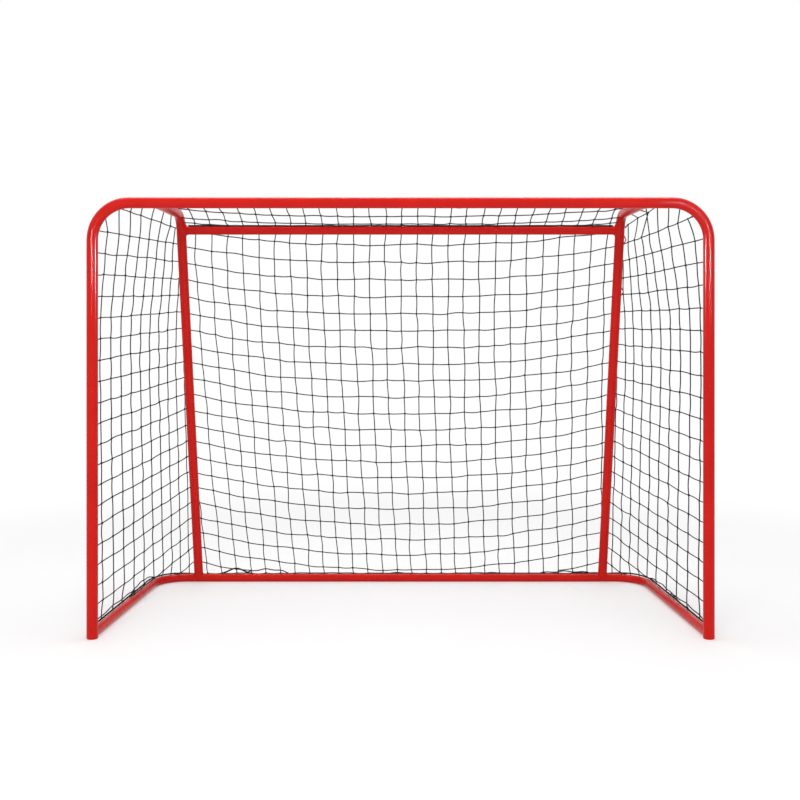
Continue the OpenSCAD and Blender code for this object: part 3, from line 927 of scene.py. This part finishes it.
def lay_rope():
    """The rope and the slack cords, as one piece."""
    hem = CordBin()
    stops = np.linspace(-HALF_RUN + ROPE_END, HALF_RUN - ROPE_END, 420)
    hem.tube([hem_at(s, hump(s)) for s in stops], ROPE_R, 10)
    for start, end, high in SLACK_CORDS:
        hem.tube(slack_path(start, end, high), CORD_R * 1.1)
    hem.make("hem_rope_cord", rope_black, "hem_cord", "hem_rope")


lay_rope()

# %% [markdown]
# ## Wire loops on the uprights
# The net is held to each upright by a row of small loops, bent from wire and welded on by their
# feet. A loop is a blunt V. Most are turned to the rear, where the net lies against them; the
# first two on the right have been knocked round to the side.

# %% Bend the loops
LOOP_WIRE = 1.5 * MM
LOOP_LEN = 25 * MM
LOOP_REACH = 6.5 * MM
LOOP_PITCH = 158 * MM
LOOPS = 7
FIRST_LOOP = 27 * MM
ARM_BEND_R = 65 * MM
UPRIGHT_LEN = (BAR_Z - ARM_BEND_R * (1 - math.sin(LEAN)) - REAR_R) / math.cos(LEAN)


def loop_wire(side, t, turned):
    """The wire of one loop, centred t up the upright and turned from outward to the rear."""
    base = np.array((side * UPRIGHT_X, REAR_Y, REAR_R)) + t * UP
    out = math.cos(turned) * np.array((side, 0, 0)) + math.sin(turned) * BACK
    foot = UPRIGHT_R - 0.5 * MM
    return [base - UP * LOOP_LEN / 2 * u + out * (foot + LOOP_REACH * (1 - abs(u) ** 1.25))
            for u in np.linspace(-1, 1, 25)]


def add_loops(side, name):
    """The row of loops of one upright, from the top down."""
    row = CordBin()
    for i in range(LOOPS):
        turned = math.radians(4 if side > 0 and i < 2 else 72)
        row.tube(loop_wire(side, UPRIGHT_LEN - FIRST_LOOP - LOOP_PITCH * i, turned), LOOP_WIRE, 10)
    row.make(f"{name}_upright_wire_loops", powder_red, "red_powder_coat", f"{name}_upright_loops")


add_loops(-1, "left")
add_loops(1, "right")

# %% [markdown]
# ## Weld fillets
# Where a tube is welded to another, the bead runs round the cut end and fills the corner with a
# smooth hollow. For each angle round the branch the bead goes from a point on the branch to a
# point on the main tube, along a curve that sags into the corner. Low beads are flat below, so
# that the goal stands level.

# %% Weld the joints
ARM_BEAD, BAR_BEAD, BASE_BEAD = 12 * MM, 9 * MM, 6 * MM
BEAD_LIFT, FLOOR_GAP = 0.1 * MM, 0.3 * MM
WELD_TURNS, WELD_STEPS = 48, 7


def add_weld(beads, joint, branch, main, branch_r, main_r, reach):
    """A hollow fillet where a branch tube along branch meets a main tube along main at joint."""
    joint, branch, main = (np.array(v, float) for v in (joint, branch, main))
    branch /= np.linalg.norm(branch)
    main /= np.linalg.norm(main)
    across = np.cross(branch, main)
    across /= np.linalg.norm(across)
    level = np.cross(across, branch)
    points = []
    for i in range(WELD_TURNS):
        a = 2 * math.pi * i / WELD_TURNS
        ray = math.cos(a) * across + math.sin(a) * level
        rim = branch_r * ray
        flat, climb = rim - rim.dot(main) * main, branch - branch.dot(main) * main
        b, c = flat.dot(climb), flat.dot(flat) - main_r ** 2
        t = (-b + math.sqrt(max(0, b * b - climb.dot(climb) * c))) / climb.dot(climb)
        corner = rim + t * branch
        high = corner + reach * branch + BEAD_LIFT * ray
        wide = corner + reach * ray
        round_main = wide - wide.dot(main) * main
        low = wide.dot(main) * main + round_main / np.linalg.norm(round_main) * (main_r + BEAD_LIFT)
        for k in range(WELD_STEPS):
            s = k / (WELD_STEPS - 1)
            points.append(joint + (1 - s) ** 2 * high + 2 * s * (1 - s) * corner + s * s * low)
    points = np.array(points)
    points[:, 2] = np.maximum(points[:, 2], FLOOR_GAP)
    faces = []
    for i in range(WELD_TURNS):
        a, b = i * WELD_STEPS, (i + 1) % WELD_TURNS * WELD_STEPS
        faces += [(a + k, a + k + 1, b + k + 1, b + k) for k in range(WELD_STEPS - 1)]
    beads.add(points, faces)


def weld_joints():
    """All the fillets, in three pieces: at the arms, the top bar and the base."""
    arms, bars, base = CordBin(), CordBin(), CordBin()
    for side in (-1, 1):
        arm, bar = (side * UPRIGHT_X, FRONT_Y, BAR_Z), (side * UPRIGHT_X, TOP_BAR_Y, TOP_BAR_Z)
        heel, toe = (side * UPRIGHT_X, REAR_Y, REAR_R), (side * POST_X, FRONT_Y, REAR_R)
        add_weld(arms, arm, (0, 1, 0), (1, 0, 0), UPRIGHT_R, POST_R, ARM_BEAD)
        add_weld(bars, bar, (-side, 0, 0), UP, TOP_BAR_R, UPRIGHT_R, BAR_BEAD)
        add_weld(base, heel, UP, (1, 0, 0), UPRIGHT_R, REAR_R, BASE_BEAD)
        along = (-side * math.sin(TAPER), math.cos(TAPER), 0)
        add_weld(base, toe, along, (0, 0, 1), REAR_R, POST_R, BASE_BEAD)
    arms.make("arm_weld_beads", powder_red, "red_powder_coat", "arm_welds")
    bars.make("top_bar_weld_beads", powder_red, "red_powder_coat", "top_bar_welds")
    base.make("base_weld_beads", powder_red, "red_powder_coat", "base_welds")


weld_joints()

# %% [markdown]
# ## The seams of the splices
# Where the legs of the crossbar meet the posts, the two cut ends leave a thin gap, and the shade inside
# it breaks the bright lines on the tubes. That shade is painted: it is drawn as a dark red band almost
# flush with the tube.

# %% Draw the seams
# painted shade: the two dark reds of the shade inside the splice gap
SEAM_SHADE_DARK, SEAM_SHADE_LIGHT = (0.10, 0.002, 0.001), (0.22, 0.004, 0.002)
SEAM_PROFILE = [(-1.1, -0.05), (-0.9, 0.03), (0.9, 0.03), (1.1, -0.05)]
SEAM_TURNS = 64


def seam_shadow():
    """Painted shade: the dull dark red of powder coat in the shade inside a gap."""
    mat, nodes, links, shader = new_material("seam_shadow")
    links.new(ramp(nodes, links, noise(nodes, links, 300, 3), [(0.3, SEAM_SHADE_DARK), (0.7, SEAM_SHADE_LIGHT)]),
              shader.inputs["Base Color"])
    shader.inputs["Roughness"].default_value = 0.7
    return mat


def add_seams():
    """A band of painted gap shade round each post; its profile is in mm, up the post and out from the
    tube.
    """
    bands = CordBin()
    turns = [2 * math.pi * i / SEAM_TURNS for i in range(SEAM_TURNS)]
    size = len(SEAM_PROFILE)
    for side in (-1, 1):
        points = [(side * POST_X + (POST_R + out * MM) * math.cos(a),
                   FRONT_Y + (POST_R + out * MM) * math.sin(a),
                   SPLICE_Z + up * MM) for a in turns for up, out in SEAM_PROFILE]
        starts = [(size * i, size * ((i + 1) % SEAM_TURNS)) for i in range(SEAM_TURNS)]
        faces = [(a + k, b + k, b + k + 1, a + k + 1) for a, b in starts for k in range(size - 1)]
        bands.add(np.array(points), faces)
    bands.make("splice_seam_shade", seam_shadow(), "red_powder_coat")


add_seams()

# %% [markdown]
# ## The button springs
# A leaf spring stands behind each snap button, with one leg on the tube and the other on the
# button. When the button goes in, the leaf has to close, so each spring bends from the frame at
# its front leg to the button at its rear leg.

# %% Bend the leaf springs
LEAF_T = 0.8 * MM
KNEE_R = 1.6 * MM
FRONT_LEG_DOWN, TOE_DOWN = 4 * MM, 8 * MM


def leaf_path(low, high):
    """The middle line of a leaf in y and z: front leg, knee, slanted leg, and the toe."""
    front, back = low.y + LEAF_T / 2, high.y - LEAF_T / 2
    knee = low.z + LEAF_T / 2 + KNEE_R
    toe = high.z - TOE_DOWN
    path = [(front, high.z - FRONT_LEG_DOWN), (front, (high.z + knee) / 2)]
    path += [(front + KNEE_R * (1 - math.cos(a)), knee - KNEE_R * math.sin(a))
             for a in np.linspace(0, math.pi, 9)]
    start = np.array(path[-1])
    path += [tuple(start + ((back, toe) - start) * share) for share in (0.3, 0.6, 0.85, 0.97)]
    return path + [(back, toe + 1 * MM), (back, (toe + high.z) / 2), (back, high.z)]


def add_leaf(node, name):
    """A strip of spring steel along that line, which bends between the frame and the button."""
    low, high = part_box(node)
    path = np.array(leaf_path(low, high))
    along = np.gradient(path, axis=0)
    across = np.stack([-along[:, 1], along[:, 0]], axis=1)
    across *= LEAF_T / 2 / np.linalg.norm(across, axis=1)[:, None]
    points = [(x, y, z) for spot, out in zip(path, across)
              for x, sign in ((low.x, 1), (low.x, -1), (high.x, -1), (high.x, 1))
              for y, z in (spot + sign * out,)]
    last = len(path) - 1
    faces = [(4 * i + k, 4 * i + (k + 1) % 4, 4 * i + 4 + (k + 1) % 4, 4 * i + 4 + k)
             for i in range(last) for k in range(4)]
    faces += [(3, 2, 1, 0), tuple(4 * last + k for k in range(4))]
    leaf = CordBin()
    leaf.add(np.array(points), faces)
    spring = leaf.make(name, blued, "spring_steel", node, rides=None)
    spring.data.polygons.foreach_set("use_smooth", [False] * len(spring.data.polygons))
    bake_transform(spring)


add_leaf("left_button_spring", "left_button_leaf")
add_leaf("right_button_spring", "right_button_leaf")

# %% [markdown]
# ## A white studio
# The goal stands on a white floor that has to melt into the background, or a grey horizon would
# cross the net. So the floor glows a little where it is looked at, and further out it turns
# into plain white. A real glow would light the tubes from below and wash them out, so only the
# rays that look at the background see it.

# %% Lay the floor and the background
FLOOR_WHITE = 0.86
FLOOR_LIFT = 0.22
FADE_START, FADE_END = 1.1, 2.6
AMBIENT = 0.45
FLOOR_CORNERS = [(-30, -12, 0), (30, -12, 0), (30, 60, 0), (-30, 60, 0)]


def background_rays(nodes, links):
    """1 on the rays that look at the background, straight or by way of metal or glass."""
    rays = nodes.new("ShaderNodeLightPath").outputs
    straight_or_shiny = maths(nodes, links, "MAXIMUM", rays["Is Camera Ray"], rays["Is Glossy Ray"])
    return maths(nodes, links, "MAXIMUM", straight_or_shiny, rays["Is Transmission Ray"])


def floor_white():
    """White paint near the goal, fading to plain white further out."""
    mat, nodes, links, shader = new_material("floor_white")
    shader.inputs["Base Color"].default_value = (FLOOR_WHITE, FLOOR_WHITE, FLOOR_WHITE, 1)
    shader.inputs["Roughness"].default_value = 0.9
    shader.inputs["Specular IOR Level"].default_value = 0.1
    shader.inputs["Emission Color"].default_value = (1, 1, 1, 1)
    looked_at = background_rays(nodes, links)
    lift = maths(nodes, links, "MULTIPLY", looked_at, FLOOR_LIFT)
    links.new(lift, shader.inputs["Emission Strength"])
    coord = nodes.new("ShaderNodeTexCoord")
    away = nodes.new("ShaderNodeVectorMath")
    away.operation = "LENGTH"
    links.new(coord.outputs["Object"], away.inputs[0])
    fade = nodes.new("ShaderNodeMapRange")
    fade.interpolation_type = "SMOOTHSTEP"
    fade.inputs["From Min"].default_value = FADE_START
    fade.inputs["From Max"].default_value = FADE_END
    links.new(away.outputs["Value"], fade.inputs["Value"])
    white = nodes.new("ShaderNodeEmission")
    white.inputs["Color"].default_value = (1, 1, 1, 1)
    white.inputs["Strength"].default_value = 1.0
    mix = nodes.new("ShaderNodeMixShader")
    links.new(maths(nodes, links, "MULTIPLY", fade.outputs["Result"], looked_at), mix.inputs["Fac"])
    links.new(shader.outputs["BSDF"], mix.inputs[1])
    links.new(white.outputs["Emission"], mix.inputs[2])
    links.new(mix.outputs["Shader"], nodes["Material Output"].inputs["Surface"])
    return mat


def add_floor():
    """One large sheet, which is only there for the picture."""
    mesh = bpy.data.meshes.new("floor")
    mesh.from_pydata(FLOOR_CORNERS, [], [(0, 1, 2, 3)])
    floor = bpy.data.objects.new("floor", mesh)
    bpy.context.scene.collection.objects.link(floor)
    paint(floor, floor_white())


def add_world():
    """White where it is looked at, and a dimmer white as a light."""
    world = bpy.data.worlds.new("studio")
    bpy.context.scene.world = world
    world.use_nodes = True
    nodes, links = world.node_tree.nodes, world.node_tree.links
    background = nodes["Background"]
    background.inputs["Color"].default_value = (1, 1, 1, 1)
    links.new(spread(nodes, links, background_rays(nodes, links), AMBIENT, 1.0),
              background.inputs["Strength"])


add_floor()
add_world()
print("floor and background:", FLOOR_WHITE, "and", AMBIENT)

# %% [markdown]
# ## Lighting the tubes
# A shiny round tube shows its shape by thin bright lines, and each line is the image of a lamp.
# Two large soft lamps give the colour, and the front one is kept out of the reflections. The
# lines come from lamps that light the gloss alone: a strip behind for the crossbar, and for each
# post a narrow strip in front and one out beyond the other post for its edge.

# %% Set the lights
POST_AIM_Z = 1.02
STRIP_Y, STRIP_Z = -4.2, 1.22
STRIPS = [(-1, "left", -0.68, 0.38), (1, "right", 1.85, 0.60)]
EDGE_STRIP_X, EDGE_STRIP_Y, EDGE_STRIP_Z = 2.155, -0.75, 1.15


def add_softbox(name, spot, aim, width, height, power, beam=180, seen="both"):
    """A lamp at spot that faces aim; seen is both, or only its colour or its shine."""
    data = bpy.data.lights.new(name, "AREA")
    data.shape = "RECTANGLE"
    data.size, data.size_y, data.energy = width, height, power
    data.spread = math.radians(beam)
    light = bpy.data.objects.new(name, data)
    light.location = spot
    light.rotation_euler = (Vector(aim) - Vector(spot)).to_track_quat("-Z", "Y").to_euler()
    light.visible_diffuse = seen != "shine"
    light.visible_glossy = seen != "colour"
    bpy.context.scene.collection.objects.link(light)


add_softbox("overhead", (0, 0.2, 3.4), (0, 0, 0.5), 3.4, 2.4, 54)
add_softbox("front_fill", (-0.6, -4.6, 2.6), (0, 0, 0.6), 3.0, 1.6, 92, 180, "colour")
add_softbox("back_strip", (0, 1.1, 3.1), (0, FRONT_Y, BAR_Z), 3.2, 1.2, 15, 60, "shine")
for side, name, strip_x, power in STRIPS:
    post = (side * POST_X, FRONT_Y, POST_AIM_Z)
    add_softbox(f"{name}_strip", (strip_x, STRIP_Y, STRIP_Z), post, 0.42, 0.30, power, 10, "shine")
    beyond = (-side * EDGE_STRIP_X, EDGE_STRIP_Y, EDGE_STRIP_Z)
    add_softbox(f"{name}_edge_strip", beyond, post, 0.20, 0.26, 0.30, 9, "shine")
print("lights:", len(bpy.data.lights))

# %% [markdown]
# ## What stays of the CAD nodes
# The CAD nodes that the new pieces replace are only hidden, and every new piece of the goal but the
# button leaves hangs from the empty of the frame, the body it rides on.
